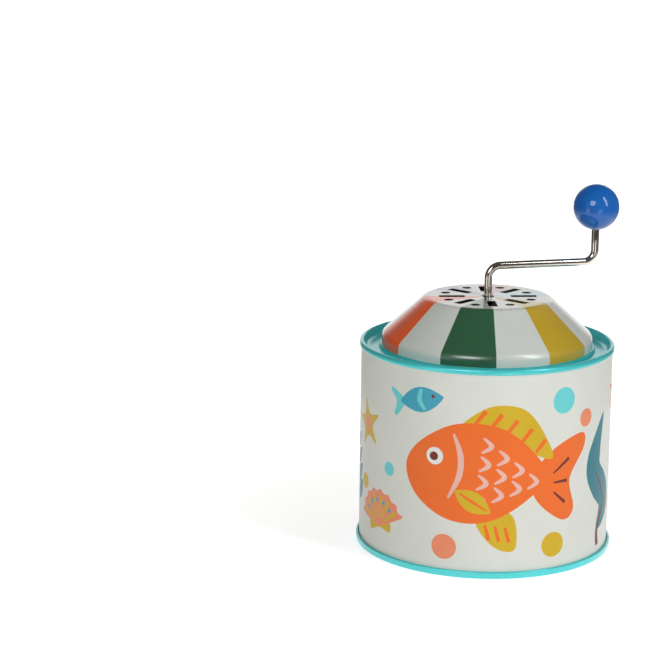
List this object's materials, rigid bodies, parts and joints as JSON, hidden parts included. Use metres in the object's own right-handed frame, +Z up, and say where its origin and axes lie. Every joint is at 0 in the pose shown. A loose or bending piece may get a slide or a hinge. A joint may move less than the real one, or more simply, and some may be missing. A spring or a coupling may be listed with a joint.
{
  "type": "hand-crank music box",
  "caption": "Round tin music box with a slotted, domed sound cap and a wire crank with a ball knob, driving a pinned barrel and steel comb hung inside.",
  "frame": {"origin": "centre of the tin's flat bottom rim, on the axis that the tin shares with its crank shaft", "axes": "+Z up along the crank shaft, -Y the front of the tin, +X to the right as seen from the front"},
  "size_m": [0.0656, 0.0656, 0.0919],
  "materials": {
    "wall_print": "lithographed tinplate, satin varnish",
    "teal_lacquer": "gloss lacquer on tinplate",
    "cap_print": "lithographed colour sectors under gloss varnish",
    "zinc_steel": "zinc-plated sheet steel",
    "die_cast": "as-cast zinc",
    "screw_steel": "zinc-plated, turned",
    "bush_brass": "turned",
    "comb_steel": "ground and hardened",
    "lead": "cut lead",
    "damper_film": "plastic film",
    "crank_nickel": "bright nickel plate",
    "knob_blue": "gloss",
    "gear_plastic": "moulded nylon",
    "barrel_brass": "pinned and turned",
    "arbor_steel": "ground"
  },
  "bodies": {
    "tin": {"drum_wall": "wall_print", "bottom_plate": "teal_lacquer", "top_ring": "teal_lacquer", "sound_cap": "cap_print", "carrier_bridge": "zinc_steel", "hanger_bracket": "zinc_steel", "hanger_rivets": "screw_steel", "hanger_screws": "screw_steel", "bed_plate": "die_cast", "bearing_bracket": "zinc_steel", "bearing_screw": "screw_steel", "shaft_bush_upper": "bush_brass", "shaft_bush_lower": "bush_brass", "comb": "comb_steel", "comb_weights": "lead", "comb_dampers": "damper_film", "comb_screws": "screw_steel"},
    "crank": {"crank_wire": "crank_nickel", "crank_knob": "knob_blue", "worm": "gear_plastic", "thrust_washers": "bush_brass", "retaining_clip": "arbor_steel"},
    "barrel": {"worm_wheel": "gear_plastic", "pin_barrel": "barrel_brass", "barrel_end_cap": "gear_plastic", "barrel_arbor": "arbor_steel"}
  },
  "joints": [
    {"name": "crank_spin", "type": "hinge", "parent": "tin", "child": "crank", "pos_m": [0, 0, 0.03676], "axis": [0, 0, 1], "continuous": true},
    {"name": "barrel_spin", "type": "hinge", "parent": "tin", "child": "barrel", "pos_m": [0, 0.0095, 0.03676], "axis": [1, 0, 0], "continuous": true}
  ],
  "couplings": [
    {"joint": "barrel_spin", "follows": "crank_spin", "ratio": 0.05}
  ]
}
